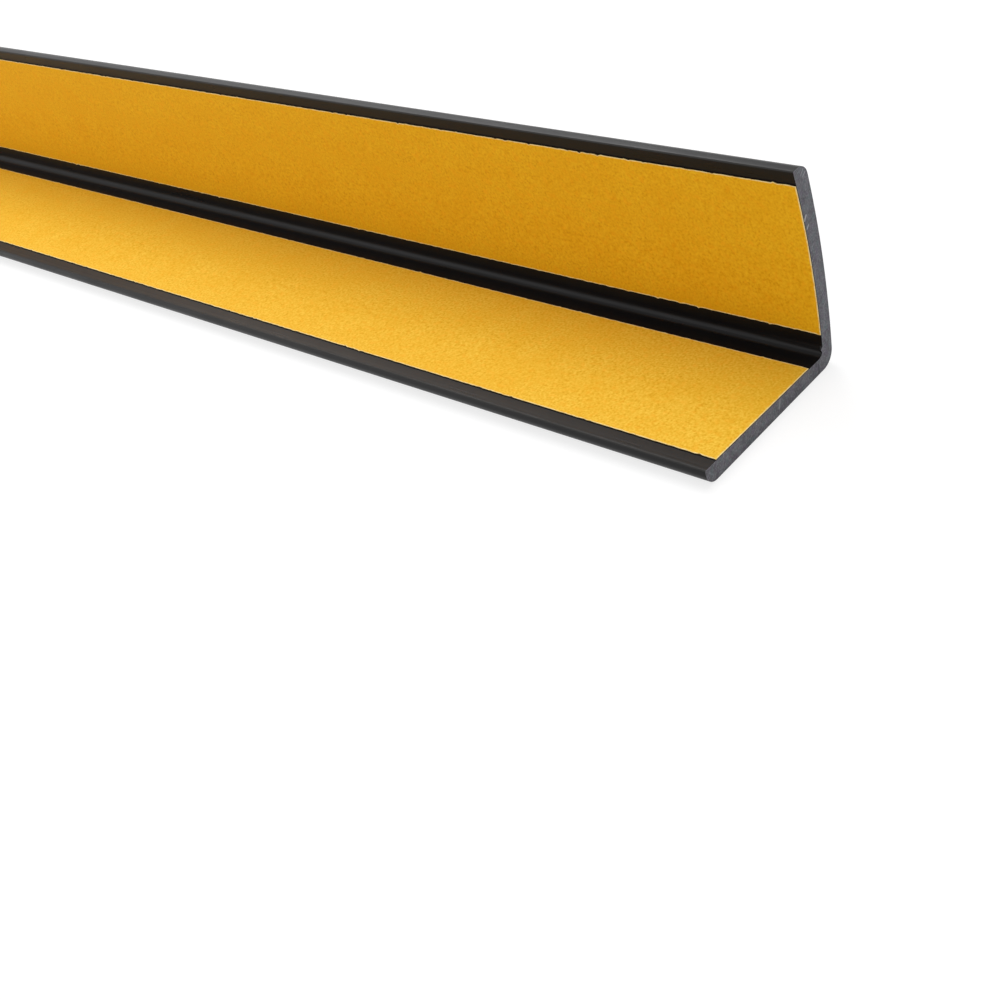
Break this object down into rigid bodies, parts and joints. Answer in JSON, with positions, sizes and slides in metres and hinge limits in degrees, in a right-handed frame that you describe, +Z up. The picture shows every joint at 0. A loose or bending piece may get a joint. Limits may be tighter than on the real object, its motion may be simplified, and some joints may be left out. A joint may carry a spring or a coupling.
{
  "type": "pvc angle profile",
  "caption": "Straight L-shaped length of black extruded PVC with rounded corners and two self-adhesive strips inside, for covering a corner or a step edge.",
  "frame": {"origin": "centre of the overall box, on the level that the base flange lies on", "axes": "+X along the length, towards the sawn end that the picture shows; +Y towards the outer face of the upright; +Z up along the upright"},
  "size_m": [1, 0.05, 0.05],
  "materials": {
    "black_pvc": "satin extruded faces, dull grey saw-cut end",
    "acrylic_adhesive": "clear tacky film, of which only the dark amber edge shows",
    "liner_paper": "smooth siliconised paper, amber yellow"
  },
  "bodies": {
    "root": {"angle_profile": "black_pvc", "upright_adhesive_tape": "acrylic_adhesive", "upright_release_liner": "liner_paper", "base_adhesive_tape": "acrylic_adhesive", "base_release_liner": "liner_paper"}
  },
  "joints": []
}
